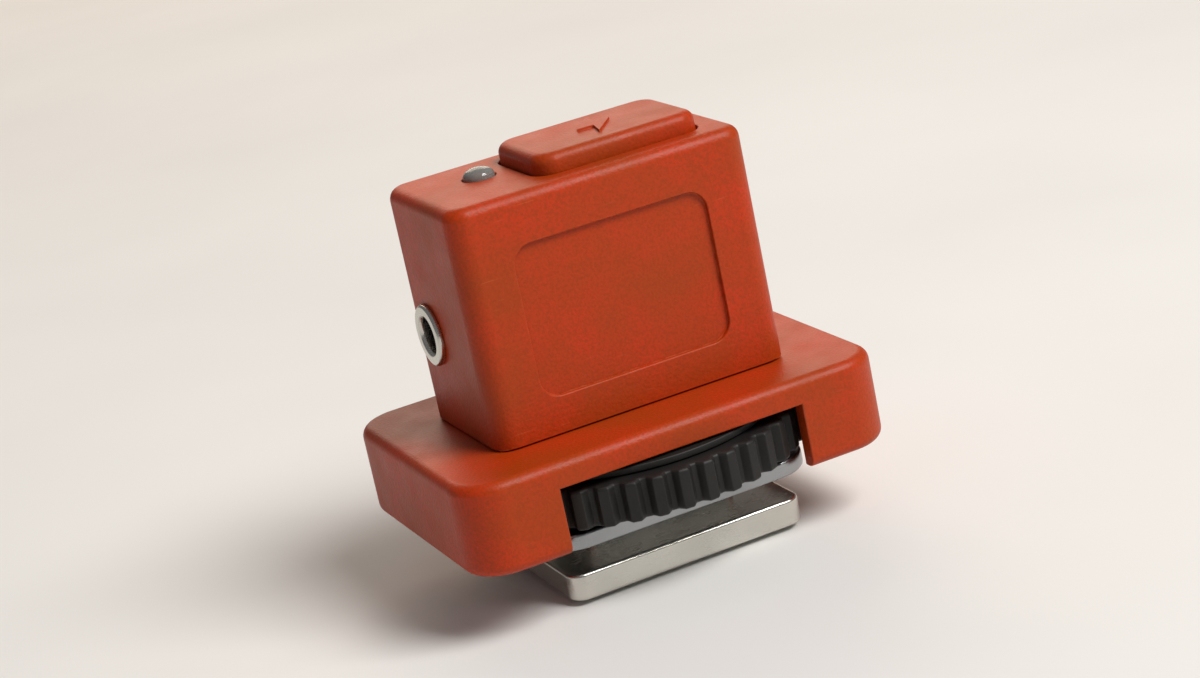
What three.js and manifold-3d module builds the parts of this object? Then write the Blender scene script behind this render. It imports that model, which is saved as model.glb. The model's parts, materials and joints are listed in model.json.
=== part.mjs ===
// Compact wireless flash trigger: an orange radio transmitter that slides into a camera's accessory shoe.
// Millimetres. The origin is the centre of the shoe foot's underside, +Z is up and -Y points at the lens.
// The photographer's side, with the channel and power switches, is +Y.
import * as THREE from "three";
import { mergeVertices } from "three/addons/utils/BufferGeometryUtils.js";
import Module from "manifold-3d";

const wasm = await Module();
wasm.setup();

// ---- Driving dimensions ------------------------------------------------------------------------------

const GAP = 0.1; // assembly gap between parts that rest on each other
const FIT = 0.15; // sliding clearance on each side of a moving part
const SUNK = 0.2; // how far a rib or boss runs into the wall it grows from
const FAR = 40; // past every face of the object, for cutting tools

// Shoe foot to ISO 518: an 18.6 mm wide plate, 2 mm thick, on a neck that passes between the shoe's rails.
const FOOT = { width: 18.6, length: 18, thick: 2, corner: 1.2, edge: 0.25 };
const NECK = { x: 12, y: 10, corner: 1, top: 9.4 };
const NECK_FIT = 0.2; // the clamp plate slides on the neck and can't turn
const NOSE = { boreRadius: 3.1, flangeRadius: 5, flangeDepth: 1.1 }; // the insulator's seat in the foot

const CLAMP = { width: 21, length: 20, corner: 3, bottom: 4.1, thick: 1.2, hubRadius: 9, hubTop: 8.3 };
const WHEEL = { radius: 13.5, bore: CLAMP.hubRadius + FIT, bottom: 5.7, top: 8.7 };
const TEETH = { count: 44, depth: 0.55 };
const WASHER = { inner: 7.8, outer: 12, bottom: 8.8, top: 9.3 };

const BASE = { width: 33, depth: 23, bottom: 4.6, top: 11.4, corner: 3.2, fillet: 0.8 };
const CAVITY = { radius: 14, top: 9.5 }; // room for the lock wheel under the base
const WIRE_HOLE = 2.2; // radius of the hole that leads the sync wire up to the board
const WINDOW_HALF = 9.5; // half the width of the finger openings over the wheel, front and back

const TOWER = { width: 23, depth: 13, top: 29, corner: 1.6, fillet: 0.9, skin: 1.3 };
const INNER = {
  x: TOWER.width / 2 - TOWER.skin,
  y: TOWER.depth / 2 - TOWER.skin,
  top: TOWER.top - TOWER.skin,
};
const TOWER_BOTTOM = BASE.top + GAP;
const PANEL = { width: 15, bottom: 14.2, top: 25.4, corner: 1.5, depth: 0.35 }; // recess on the lens side
const COVER = { halfWidth: 9.3, bottom: 11.65, top: 26.95, inner: 5.25, outer: 6.4, corner: 1 };
// Two tongues on the rear cover hook behind the shell's right edge. The screws hold the left edge.
const TONGUES = { z: [17.5, 20.5], halfHeight: 0.9, left: 8.8, right: 9.7, inner: 4.4 };

const BUTTON = { x: 2.9, width: 12.8, depth: 8.6, top: 30.4, corner: 1.6, fillet: 0.7, wall: 1.2 };
const BUTTON_LIP = { reach: 0.6, bottom: 26.95, top: INNER.top - GAP };
const BUTTON_STEM = 1; // radius of the stem that presses the test switch
const BOLT = { sunk: 0.3, proud: 0.2 }; // how far the bolt mark reaches into the button and out of it
const LENS = { x: -6, y: 1.05, radius: 1.15, bottom: 26.3, top: 29.75 };
const LED = { width: 1.4, depth: 1, height: 1.1 };
const LENS_FLANGE = { radius: 1.7, top: INNER.top - GAP, thick: 0.6 };

const BOARD = { halfWidth: 9.9, bottom: 11.8, top: 26.2, front: -0.3, back: 0.5 };
const BOARD_RIB = { inner: 9.65, bottom: 21, top: 26.2, thick: 0.55 }; // pairs of ribs grip the board's edges
const ON_BOARD = BOARD.back + GAP / 2; // where a part soldered to the board's back starts
const RADIO = { left: -5.3, right: -0.9, low: 12.2, high: 16, height: 1.75 };
const CHIP = { left: -5.5, right: -1.9, low: 20.8, high: 24.4, height: 0.95 };
const CRYSTAL = { left: -4.8, right: -2, low: 24.8, high: 25.9, height: 0.75, corner: 0.3 };
const ANTENNA = { x: -7.8, y: -2.7, radius: 1.45, wireRadius: 0.3, bottom: 15.7, top: 25.4, turns: 8 };
const TACT = { x: 0.6, y: 2, halfWidth: 2.2, halfDepth: 1.45, bottom: 23.4, top: 25.6 };
const PLUNGER = { radius: 0.8, bottom: 25.15, top: 26.4, travel: 0.5 }; // the test button's travel too

const TRAY = { left: -5, bottom: 12.4, top: 25.6, front: -4.85, back: -1.45, floor: 0.65 };
const BEZEL = { inner: INNER.x + FIT, bottom: 12.2, top: 25.8 };
const SLOT = { bottom: 12.05, top: 25.95, front: -5, back: -1.3 };
const CELL = { x: 1.95, z: 18.95, radius: 6.25, thick: 2.5, front: -4.2 }; // a 1225 lithium coin cell
const CONTACT_METAL = 0.25; // thickness of the sprung contact strip
const LEAF_CONTACT = { height: 2.2, stand: 0.08 }; // a sprung leaf, held this far off the cell's lid
const RIM_CONTACT = { left: 1, right: 3, front: -3.4, height: 2.5 };
const CONTACT_ROOM = 0.5; // between a contact and the tray that slides past it
const NAIL_GROOVE = { depth: 0.5, width: 0.95, halfHeight: 2.4 };
const CELL_LID = { height: 0.4, inset: 0.9 };

const JACK = {
  y: 2.4,
  z: 18.6,
  socketRadius: 1.35,
  socketEnd: -2.4,
  bodyHalf: 1.85,
  bodyEnd: -1.3,
  barrelRadius: 1.9,
  flangeRadius: 2.3,
  flangeThick: 0.45,
};
const CHANNEL = { x: 3.9, bottom: 15.4, top: 21.4, halfWidth: 4.6, face: 4.6, pitch: 2.54, count: 3 };
const CHANNEL_WINDOW = { halfWidth: 4, margin: 0.6, corner: 0.4 };
const SLIDER = { width: 1.2, height: 1.4, bottom: 16.8, travel: 1.8, inner: 3.8, outer: 5.7 };
const POWER = { x: 5.3, z: 24, travel: 1.8, left: 3.1, right: 9.5, halfHeight: 1.3, back: 2.35 };
const KNOB = { halfWidth: 1.5, halfHeight: 1.25, corner: 0.4, sunk: 0.25, proud: 0.8 };
const KNOB_GROOVE = { width: 0.3, pitch: 0.7 };
const KNOB_STEM = { halfWidth: 0.9, halfHeight: 0.7, inner: 1.75 };

// Machine screws, M1.6. Threads are plain cylinders.
const SCREW = {
  head: 1.35,
  headHeight: 0.75,
  shank: 0.7,
  recessWidth: 0.4,
  recessDepth: 0.4,
  lengths: { foot: 5.6, shell: 4.8, cover: 4.4 },
};
const FOOT_SCREWS = [[-4.4, -3.4], [4.4, -3.4], [-4.4, 3.4], [4.4, 3.4]];
const FOOT_THREAD_BOTTOM = 5;
const SHELL_SCREWS = [[-8.2, -3.4], [8.4, 3.5]];
const SHELL_BOSS = { radius: 1.45, top: 15 };
const COVER_BOSS = { radius: 1.4, front: 1.2 };
const WEB = 0.6; // half the thickness of a web between a boss and its wall
const SHELF_BACK = -1.5; // the shelf under the battery tray ends here
const SCREW_HOLE = 5; // depth of a clearance hole, past the far side of its wall
const COVER_SCREWS = [[-7.2, 13.4], [-7.2, 23.4]]; // x, z

// Sprung sync contact in the middle of the foot.
const PIN = { radius: 1.2, tip: -0.4, dome: 0.35, shoulder: 2.05, collar: 1.85, collarTop: 2.75 };
const PIN_STEM = { radius: 0.7, top: 6.4 };
const SPRING = { radius: 1.25, wire: 0.18, turns: 6, play: 0.03 };
const WIRE_RADIUS = 0.3;
const TERMINAL = { radius: 1.95, bottom: 8.05, top: 9.2 };

// ---- Solids and booleans -----------------------------------------------------------------------------

// A closed three.js geometry as a manifold-3d solid.
function solid(geometry) {
  const bare = geometry.index ? geometry.toNonIndexed() : geometry.clone();
  bare.deleteAttribute("normal");
  bare.deleteAttribute("uv");
  const merged = mergeVertices(bare, 1e-4);
  const triVerts = new Uint32Array(merged.index.array);
  return new wasm.Manifold(
    new wasm.Mesh({ numProp: 3, vertProperties: merged.attributes.position.array, triVerts }),
  );
}

function geometryOf(body) {
  const mesh = body.getMesh();
  const positions = new Float32Array(mesh.numVert * 3);
  for (let i = 0; i < mesh.numVert; i++) {
    positions.set(mesh.vertProperties.subarray(i * mesh.numProp, i * mesh.numProp + 3), i * 3);
  }
  const geometry = new THREE.BufferGeometry();
  geometry.setAttribute("position", new THREE.BufferAttribute(positions, 3));
  geometry.setIndex(new THREE.BufferAttribute(mesh.triVerts, 1));
  geometry.computeVertexNormals();
  return geometry;
}

const join = (first, ...others) => others.reduce((sum, other) => sum.add(other), first);
const cut = (body, ...tools) => tools.reduce((rest, tool) => rest.subtract(tool), body);

function block(x0, x1, y0, y1, z0, z1) {
  const box = new THREE.BoxGeometry(x1 - x0, y1 - y0, z1 - z0);
  box.translate((x0 + x1) / 2, (y0 + y1) / 2, (z0 + z1) / 2);
  return solid(box);
}

// A cylinder standing along Z.
function post(x, y, z0, z1, radius, sides = 20) {
  const cylinder = new THREE.CylinderGeometry(radius, radius, z1 - z0, sides);
  cylinder.rotateX(Math.PI / 2).translate(x, y, (z0 + z1) / 2);
  return solid(cylinder);
}

// A cylinder lying along Y.
function peg(x, z, y0, y1, radius, sides = 20) {
  const cylinder = new THREE.CylinderGeometry(radius, radius, y1 - y0, sides);
  return solid(cylinder.translate(x, (y0 + y1) / 2, z));
}

// A cylinder lying along X.
function rod(y, z, x0, x1, radius, sides = 24) {
  const cylinder = new THREE.CylinderGeometry(radius, radius, x1 - x0, sides);
  return solid(cylinder.rotateZ(Math.PI / 2).translate((x0 + x1) / 2, y, z));
}

function turned(profile, sides) {
  const points = profile.map(([radius, z]) => new THREE.Vector2(radius, z));
  return solid(new THREE.LatheGeometry(points, sides).rotateX(Math.PI / 2));
}

function roundedRectangle(width, depth, corner) {
  const x = width / 2 - corner;
  const y = depth / 2 - corner;
  const shape = new THREE.Shape();
  shape.absarc(x, y, corner, 0, Math.PI / 2);
  shape.absarc(-x, y, corner, Math.PI / 2, Math.PI);
  shape.absarc(-x, -y, corner, Math.PI, Math.PI * 1.5);
  shape.absarc(x, -y, corner, Math.PI * 1.5, Math.PI * 2);
  shape.closePath();
  return shape;
}

// A shape pushed up from z0 to z1, with its top and bottom edges rounded by fillet.
function slab(shape, z0, z1, { fillet = 0, curve = 5 } = {}) {
  const extruded = new THREE.ExtrudeGeometry(shape, {
    depth: z1 - z0 - 2 * fillet,
    curveSegments: curve,
    bevelEnabled: fillet > 0,
    bevelThickness: fillet,
    bevelSize: fillet,
    bevelOffset: -fillet,
    bevelSegments: 3,
  });
  return solid(extruded.translate(0, 0, z0 + fillet));
}

// A rounded rectangle in X and Z, pushed along Y from y0 to y1.
function wallPanel(x0, x1, z0, z1, y0, y1, corner) {
  const shape = roundedRectangle(x1 - x0, z1 - z0, corner);
  const options = { depth: y1 - y0, curveSegments: 4, bevelEnabled: false };
  const extruded = new THREE.ExtrudeGeometry(shape, options);
  extruded.rotateX(Math.PI / 2).translate((x0 + x1) / 2, y1, (z0 + z1) / 2);
  return solid(extruded);
}

// A round wire along a list of points.
function wire(points, radius, steps, sides = 6) {
  const section = new THREE.Shape().absarc(0, 0, radius, 0, Math.PI * 2);
  const path = new THREE.CatmullRomCurve3(points.map((p) => new THREE.Vector3(...p)));
  const options = { steps, curveSegments: sides, bevelEnabled: false, extrudePath: path };
  return solid(new THREE.ExtrudeGeometry(section, options));
}

// Points of a helix standing along Z.
function helix(x, y, radius, z0, z1, turns, pointsPerTurn = 10) {
  const count = Math.round(turns * pointsPerTurn);
  return Array.from({ length: count + 1 }, (_, i) => {
    const angle = (2 * Math.PI * i) / pointsPerTurn;
    return [x + radius * Math.cos(angle), y + radius * Math.sin(angle), z0 + ((z1 - z0) * i) / count];
  });
}

// ---- Materials and the exported group ----------------------------------------------------------------

function finish(color, roughness, metalness) {
  return new THREE.MeshStandardMaterial({ color, roughness, metalness });
}

const MATERIALS = {
  orange: finish(0xa8401a, 0.5, 0),
  black: finish(0x18181a, 0.55, 0),
  lens: finish(0xa9aaa6, 0.2, 0),
  white: finish(0xe4e2dc, 0.5, 0),
  red: finish(0x9c1c18, 0.5, 0),
  nickel: finish(0xb9b9b4, 0.3, 1),
  steel: finish(0x8d9094, 0.35, 1),
  gold: finish(0xd8ae58, 0.3, 1),
  copper: finish(0xb4683c, 0.35, 1),
  board: finish(0x14492c, 0.55, 0),
};

const trigger = new THREE.Group();

function part(name, material, body) {
  const mesh = new THREE.Mesh(geometryOf(body), MATERIALS[material]);
  mesh.name = name;
  trigger.add(mesh);
}

// ---- Screws ------------------------------------------------------------------------------------------

// A cross-recessed screw with the top of its head at z = 0, pointing down.
function screw(length) {
  const head = post(0, 0, -SCREW.headHeight, 0, SCREW.head, 16);
  const shank = post(0, 0, -length, -SCREW.headHeight + GAP, SCREW.shank, 12);
  const reach = SCREW.head * 0.65;
  const half = SCREW.recessWidth / 2;
  return cut(
    join(head, shank),
    block(-reach, reach, -half, half, -SCREW.recessDepth, 1),
    block(-half, half, -reach, reach, -SCREW.recessDepth, 1),
  );
}

// The stepped hole a screw needs: a seat for its head, then clearance for its shank. The seat's top is z = 0.
function screwSeat(depth) {
  const seat = post(0, 0, -SCREW.headHeight - GAP / 2, 1, SCREW.head + FIT, 16);
  return join(seat, post(0, 0, -depth, 0, SCREW.shank + GAP, 12));
}

// The hole a screw's thread bites into, a little wider than the plain shank.
const THREAD = SCREW.shank + GAP / 2;

const faceDown = (body, x, y, z) => body.rotate([180, 0, 0]).translate([x, y, z]);
const faceBack = (body, x, y, z) => body.rotate([-90, 0, 0]).translate([x, y, z]);

// ---- Foot, sync contact and shoe lock ----------------------------------------------------------------

function makeFoot() {
  const outline = roundedRectangle(FOOT.width, FOOT.length, FOOT.corner);
  const plate = slab(outline, 0, FOOT.thick, { fillet: FOOT.edge });
  const neck = slab(roundedRectangle(NECK.x, NECK.y, NECK.corner), FOOT.thick - SUNK, NECK.top);
  const tapped = FOOT_SCREWS.map(([x, y]) => post(x, y, FOOT_THREAD_BOTTOM, FAR, THREAD, 12));
  const foot = cut(
    join(plate, neck),
    post(0, 0, -1, FAR, NOSE.boreRadius, 28),
    post(0, 0, -1, NOSE.flangeDepth, NOSE.flangeRadius, 32),
    ...tapped,
  );
  part("shoe_foot", "nickel", foot);
}

function makeSyncContact() {
  const body = join(
    post(0, 0, GAP / 2, NOSE.flangeDepth - GAP, NOSE.flangeRadius - GAP, 32),
    post(0, 0, NOSE.flangeDepth - SUNK, NECK.top - GAP, NOSE.boreRadius - GAP, 28),
  );
  const insulator = cut(
    body,
    post(0, 0, -1, PIN.shoulder, PIN.radius + GAP, 20),
    post(0, 0, PIN.shoulder - GAP / 2, FAR, TERMINAL.radius + GAP / 2, 20),
  );
  part("foot_insulator", "black", insulator);

  const pin = turned([
    [0, PIN.tip],
    [PIN.radius * 0.6, PIN.tip + PIN.dome * 0.25],
    [PIN.radius, PIN.tip + PIN.dome],
    [PIN.radius, PIN.shoulder],
    [PIN.collar, PIN.shoulder],
    [PIN.collar, PIN.collarTop],
    [PIN_STEM.radius, PIN.collarTop],
    [PIN_STEM.radius, PIN_STEM.top],
    [0, PIN_STEM.top],
  ], 20);
  part("sync_pin", "gold", pin);

  const low = PIN.collarTop + SPRING.wire + SPRING.play;
  const high = TERMINAL.bottom - SPRING.wire - SPRING.play;
  const coil = helix(0, 0, SPRING.radius, low, high, SPRING.turns);
  part("sync_pin_spring", "steel", wire(coil, SPRING.wire, coil.length, 5));
  part("sync_pin_terminal", "gold", post(0, 0, TERMINAL.bottom, TERMINAL.top, TERMINAL.radius, 20));
}

function makeLock() {
  const keyed = roundedRectangle(NECK.x + 2 * NECK_FIT, NECK.y + 2 * NECK_FIT, NECK.corner + NECK_FIT);
  const plateTop = CLAMP.bottom + CLAMP.thick;
  const plate = slab(roundedRectangle(CLAMP.width, CLAMP.length, CLAMP.corner), CLAMP.bottom, plateTop);
  const hub = post(0, 0, plateTop - SUNK, CLAMP.hubTop, CLAMP.hubRadius, 40);
  part("clamp_plate", "steel", cut(join(plate, hub), slab(keyed, 0, FAR)));

  const wheel = slab(wheelOutline(), WHEEL.bottom, WHEEL.top);
  part("lock_wheel", "black", cut(wheel, post(0, 0, 0, FAR, WHEEL.bore, 48)));

  const washer = cut(
    post(0, 0, WASHER.bottom, WASHER.top, WASHER.outer, 40),
    post(0, 0, 0, FAR, WASHER.inner, 40),
  );
  part("thrust_washer", "black", washer);
}

// A thumb wheel's outline: flat-topped teeth round a rim.
function wheelOutline() {
  const step = (2 * Math.PI) / TEETH.count;
  const inner = WHEEL.radius - TEETH.depth;
  // Share of the tooth's pitch, and radius, at each corner.
  const tooth = [[0, inner], [0.2, WHEEL.radius], [0.6, WHEEL.radius], [0.8, inner]];
  const points = Array.from({ length: TEETH.count }, (_, i) =>
    tooth.map(([share, radius]) => {
      const angle = (i + share) * step;
      return new THREE.Vector2(radius * Math.cos(angle), radius * Math.sin(angle));
    }),
  );
  return new THREE.Shape(points.flat());
}

// ---- Housing -----------------------------------------------------------------------------------------

function makeBase() {
  const body = slab(roundedRectangle(BASE.width, BASE.depth, BASE.corner), BASE.bottom, BASE.top, {
    fillet: BASE.fillet,
  });
  const base = cut(
    body,
    post(0, 0, 0, CAVITY.top, CAVITY.radius, 56),
    block(-WINDOW_HALF, WINDOW_HALF, -FAR, FAR, 0, CAVITY.top),
    post(0, 0, 0, FAR, WIRE_HOLE, 20),
    ...FOOT_SCREWS.map(([x, y]) => screwSeat(SCREW_HOLE).translate([x, y, BASE.top])),
    ...SHELL_SCREWS.map(([x, y]) => faceDown(screwSeat(SCREW_HOLE), x, y, CAVITY.top)),
  );
  part("base_shell", "orange", base);
}

// The tower's outer form: its top edge is rounded and its bottom edge is square.
function towerOutside() {
  const outline = roundedRectangle(TOWER.width, TOWER.depth, TOWER.corner);
  const whole = slab(outline, BASE.bottom, TOWER.top, { fillet: TOWER.fillet });
  return cut(whole, block(-FAR, FAR, -FAR, FAR, 0, TOWER_BOTTOM));
}

// Pillars for the screws that hold the shell to the base, each tied to a side wall by a web.
function shellBosses() {
  return SHELL_SCREWS.map(([x, y]) => {
    const wall = Math.sign(x) * (INNER.x + SUNK);
    const web = block(Math.min(x, wall), Math.max(x, wall), y - WEB, y + WEB, TOWER_BOTTOM, SHELL_BOSS.top);
    return join(post(x, y, TOWER_BOTTOM, SHELL_BOSS.top, SHELL_BOSS.radius, 16), web);
  });
}

// Pillars behind the rear cover's screws.
function coverBosses() {
  const back = COVER.inner - GAP;
  return COVER_SCREWS.map(([x, z]) => {
    const web = block(-INNER.x - SUNK, x, COVER_BOSS.front, back, z - WEB, z + WEB);
    return join(peg(x, z, COVER_BOSS.front, back, COVER_BOSS.radius, 16), web);
  });
}

// Ribs that hold the board's two edges from the front and from behind.
function boardRibs() {
  const { inner, bottom, top, thick } = BOARD_RIB;
  const wall = INNER.x + SUNK;
  return [BOARD.front - GAP - thick, BOARD.back + GAP].flatMap((y) => [
    block(-wall, -inner, y, y + thick, bottom, top),
    block(inner, wall, y, y + thick, bottom, top),
  ]);
}

function frontShellOpenings() {
  const lensSide = -TOWER.depth / 2;
  const half = PANEL.width / 2;
  const { bottom, top, depth, corner } = PANEL;
  const panel = wallPanel(-half, half, bottom, top, lensSide - 1, lensSide + depth, corner);
  const traySlot = block(INNER.x - SUNK, FAR, SLOT.front, SLOT.back, SLOT.bottom, SLOT.top);
  const jackHole = rod(JACK.y, JACK.z, -FAR, -INNER.x + SUNK, JACK.barrelRadius + GAP, 24);
  const lensHole = post(LENS.x, LENS.y, INNER.top - SUNK, FAR, LENS.radius + GAP, 20);
  const buttonOutline = roundedRectangle(BUTTON.width + 2 * FIT, BUTTON.depth + 2 * FIT, BUTTON.corner + FIT);
  const buttonHole = slab(buttonOutline, INNER.top - SUNK, FAR).translate([BUTTON.x, 0, 0]);
  return [panel, traySlot, jackHole, lensHole, buttonHole];
}

function makeFrontShell() {
  const cavity = block(-INNER.x, INNER.x, -INNER.y, INNER.y, 0, INNER.top);
  const side = COVER.halfWidth + FIT;
  const rear = wallPanel(-side, side, 0, COVER.top + FIT, COVER_BOSS.front, FAR, COVER.corner);
  const shelf = block(
    -INNER.x - SUNK, INNER.x + SUNK, -INNER.y - SUNK, SHELF_BACK, TOWER_BOTTOM, SLOT.bottom,
  );
  const threads = [
    ...SHELL_SCREWS.map(([x, y]) => post(x, y, 0, SHELL_BOSS.top - SUNK, THREAD, 12)),
    ...COVER_SCREWS.map(([x, z]) => peg(x, z, COVER_BOSS.front + SUNK, FAR, THREAD, 12)),
  ];
  const hollow = cut(towerOutside(), cavity, rear);
  const whole = join(hollow, shelf, ...shellBosses(), ...coverBosses(), ...boardRibs());
  part("front_shell", "orange", cut(whole, ...threads, ...frontShellOpenings()));
}

function makeRearCover() {
  const { halfWidth, bottom, top, inner, outer, corner } = COVER;
  const plate = wallPanel(-halfWidth, halfWidth, bottom, top, inner, outer, corner);
  const tongues = TONGUES.z.map((z) => {
    const z0 = z - TONGUES.halfHeight;
    const z1 = z + TONGUES.halfHeight;
    return join(
      block(TONGUES.left, TONGUES.right, TONGUES.inner, inner - GAP, z0, z1),
      block(TONGUES.left, halfWidth - GAP, TONGUES.inner, inner + SUNK, z0, z1),
    );
  });
  const channelWindow = wallPanel(
    CHANNEL.x - CHANNEL_WINDOW.halfWidth,
    CHANNEL.x + CHANNEL_WINDOW.halfWidth,
    SLIDER.bottom - CHANNEL_WINDOW.margin,
    SLIDER.bottom + SLIDER.height + SLIDER.travel + CHANNEL_WINDOW.margin,
    0, FAR, CHANNEL_WINDOW.corner,
  );
  const knobRecess = slotAlongX(KNOB, outer - KNOB.sunk - GAP);
  const stemSlot = slotAlongX(KNOB_STEM, 0);
  const seats = COVER_SCREWS.map(([x, z]) => faceBack(screwSeat(SCREW_HOLE), x, outer, z));
  part("rear_cover", "orange", cut(join(plate, ...tongues), channelWindow, knobRecess, stemSlot, ...seats));
}

// The room that a piece of the power knob sweeps through, open to the back from y.
function slotAlongX(piece, y) {
  const x = piece.halfWidth + FIT;
  const z = piece.halfHeight + FIT;
  return block(POWER.x - x, POWER.x + POWER.travel + x, y, FAR, POWER.z - z, POWER.z + z);
}

function makeScrews() {
  FOOT_SCREWS.forEach(([x, y], i) => {
    part(`foot_screw_${i + 1}`, "steel", screw(SCREW.lengths.foot).translate([x, y, BASE.top]));
  });
  SHELL_SCREWS.forEach(([x, y], i) => {
    part(`shell_screw_${i + 1}`, "steel", faceDown(screw(SCREW.lengths.shell), x, y, CAVITY.top));
  });
  COVER_SCREWS.forEach(([x, z], i) => {
    part(`cover_screw_${i + 1}`, "steel", faceBack(screw(SCREW.lengths.cover), x, COVER.outer, z));
  });
}

// ---- Test button and status light --------------------------------------------------------------------

function makeTestButton() {
  const { x, width, depth, top, corner, fillet, wall } = BUTTON;
  const { reach, bottom } = BUTTON_LIP;
  const cap = slab(roundedRectangle(width, depth, corner), bottom, top, { fillet });
  const lip = slab(roundedRectangle(width + 2 * reach, depth + 2 * reach, corner), bottom, BUTTON_LIP.top);
  const inside = slab(roundedRectangle(width - 2 * wall, depth - 2 * wall, corner / 2), 0, top - wall);
  const shell = cut(join(cap, lip), inside).translate([x, 0, 0]);
  const stem = post(TACT.x, TACT.y, PLUNGER.top + GAP / 2, top - wall + SUNK, BUTTON_STEM, 16);
  part("test_button", "orange", join(shell, stem, boltMark()));
}

// A raised lightning bolt, the usual sign for flash, on top of the test button.
function boltMark() {
  const outline = [[0.5, 2.4], [-1.5, -0.4], [-0.2, -0.4], [-0.6, -2.4], [1.5, 0.5], [0.2, 0.5]];
  const bolt = new THREE.Shape(outline.map(([x, y]) => new THREE.Vector2(x, y)));
  return slab(bolt, BUTTON.top - BOLT.sunk, BUTTON.top + BOLT.proud).translate([BUTTON.x, 0, 0]);
}

function makeTestSwitch() {
  const { x, y, halfWidth, halfDepth, bottom, top } = TACT;
  const body = block(x - halfWidth, x + halfWidth, ON_BOARD, y + halfDepth, bottom, top);
  const well = post(x, y, PLUNGER.bottom - PLUNGER.travel - GAP, FAR, PLUNGER.radius + FIT, 16);
  part("test_switch_body", "black", cut(body, well));
  part("test_switch_plunger", "white", post(x, y, PLUNGER.bottom, PLUNGER.top, PLUNGER.radius, 16));
}

// A domed lens in the shell's top, with a light guide down to the LED on the board's top edge.
function makeStatusLight() {
  const { x, y, radius, bottom, top } = LENS;
  const flange = LENS_FLANGE.radius;
  const flangeTop = LENS_FLANGE.top;
  const guide = radius * 0.7;
  const flangeBottom = flangeTop - LENS_FLANGE.thick;
  const rim = TOWER.top + GAP;
  const profile = [[0, bottom], [guide, bottom], [guide, flangeBottom], [flange, flangeBottom]];
  profile.push([flange, flangeTop], [radius, flangeTop], [radius, rim]);
  const steps = 4;
  for (let i = 1; i < steps; i++) {
    const angle = (i / steps) * (Math.PI / 2);
    profile.push([radius * Math.cos(angle), rim + (top - rim) * Math.sin(angle)]);
  }
  profile.push([0, top]);
  part("status_lens", "lens", turned(profile, 20).translate([x, y, 0]));
  const half = LED.width / 2;
  const led = block(x - half, x + half, ON_BOARD, ON_BOARD + LED.depth, BOARD.top - LED.height, BOARD.top);
  part("status_led", "white", led);
}

// ---- Electronics -------------------------------------------------------------------------------------

function makeBoard() {
  const { halfWidth, bottom, top, front, back } = BOARD;
  part("main_board", "board", block(-halfWidth, halfWidth, front, back, bottom, top));
  part("radio_shield", "nickel", onBoard(RADIO));
  part("controller_chip", "black", onBoard(CHIP));
  const { left, right, low, high, height } = CRYSTAL;
  part("crystal", "nickel", wallPanel(left, right, low, high, ON_BOARD, ON_BOARD + height, CRYSTAL.corner));
}

function onBoard({ left, right, low, high, height }) {
  return block(left, right, ON_BOARD, ON_BOARD + height, low, high);
}

// A helical aerial of stiff enamelled wire, soldered to the board's front at its lower end.
function makeAntenna() {
  const { x, y, radius, wireRadius, bottom, top, turns } = ANTENNA;
  const coil = helix(x, y, radius, bottom, top, turns);
  const lead = [
    [x + radius - 0.1, BOARD.front - wireRadius - GAP, bottom - 0.5],
    [x + radius - 0.15, (BOARD.front + y) / 2, bottom - 0.35],
  ];
  const points = [...lead, ...coil];
  part("antenna_coil", "copper", wire(points, wireRadius, points.length + 12, 5));
}

function makeSyncJack() {
  const { y, z, socketRadius, bodyHalf, barrelRadius, flangeRadius, flangeThick } = JACK;
  const socket = rod(y, z, -FAR, JACK.socketEnd, socketRadius, 20);
  const wall = -INNER.x + GAP;
  const body = block(wall, JACK.bodyEnd, ON_BOARD, y + bodyHalf, z - bodyHalf, z + bodyHalf);
  part("sync_jack_body", "black", cut(body, socket));
  const outside = -TOWER.width / 2;
  const barrel = rod(y, z, outside - SUNK, wall - GAP, barrelRadius, 24);
  const flange = rod(y, z, outside - flangeThick, outside, flangeRadius, 24);
  part("sync_jack_bushing", "nickel", cut(join(barrel, flange), socket));
}

function makeChannelSwitch() {
  const { x, bottom, top, halfWidth, face, pitch, count } = CHANNEL;
  const { width, height, travel, inner, outer } = SLIDER;
  const half = width / 2;
  const low = SLIDER.bottom;
  const centres = Array.from({ length: count }, (_, i) => x + (i - (count - 1) / 2) * pitch);
  const slots = centres.map((middle) =>
    block(middle - half - FIT, middle + half + FIT, inner - GAP, FAR, low - FIT, low + height + travel + FIT),
  );
  const body = block(x - halfWidth, x + halfWidth, ON_BOARD, face, bottom, top);
  part("channel_switch_body", "black", cut(body, ...slots));
  centres.forEach((middle, i) => {
    const slider = block(middle - half, middle + half, inner, outer, low, low + height);
    part(`channel_slider_${i + 1}`, "white", slider);
  });
}

function makePowerSwitch() {
  const { x, z, left, right, halfHeight, back } = POWER;
  const body = block(left, right, ON_BOARD, back, z - halfHeight, z + halfHeight);
  part("power_switch_body", "nickel", cut(body, slotAlongX(KNOB_STEM, KNOB_STEM.inner - GAP)));

  const bottom = COVER.outer - KNOB.sunk;
  const top = COVER.outer + KNOB.proud;
  const cap = wallPanel(
    x - KNOB.halfWidth, x + KNOB.halfWidth, z - KNOB.halfHeight, z + KNOB.halfHeight,
    bottom, top, KNOB.corner,
  );
  const stem = block(
    x - KNOB_STEM.halfWidth, x + KNOB_STEM.halfWidth, KNOB_STEM.inner, bottom + SUNK,
    z - KNOB_STEM.halfHeight, z + KNOB_STEM.halfHeight,
  );
  const grooves = [-1, 0, 1].map((step) => {
    const middle = x + step * KNOB_GROOVE.pitch;
    const half = KNOB_GROOVE.width / 2;
    return block(middle - half, middle + half, top - KNOB_GROOVE.width, FAR, 0, FAR);
  });
  part("power_knob", "black", cut(join(cap, stem), ...grooves));
}

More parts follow.
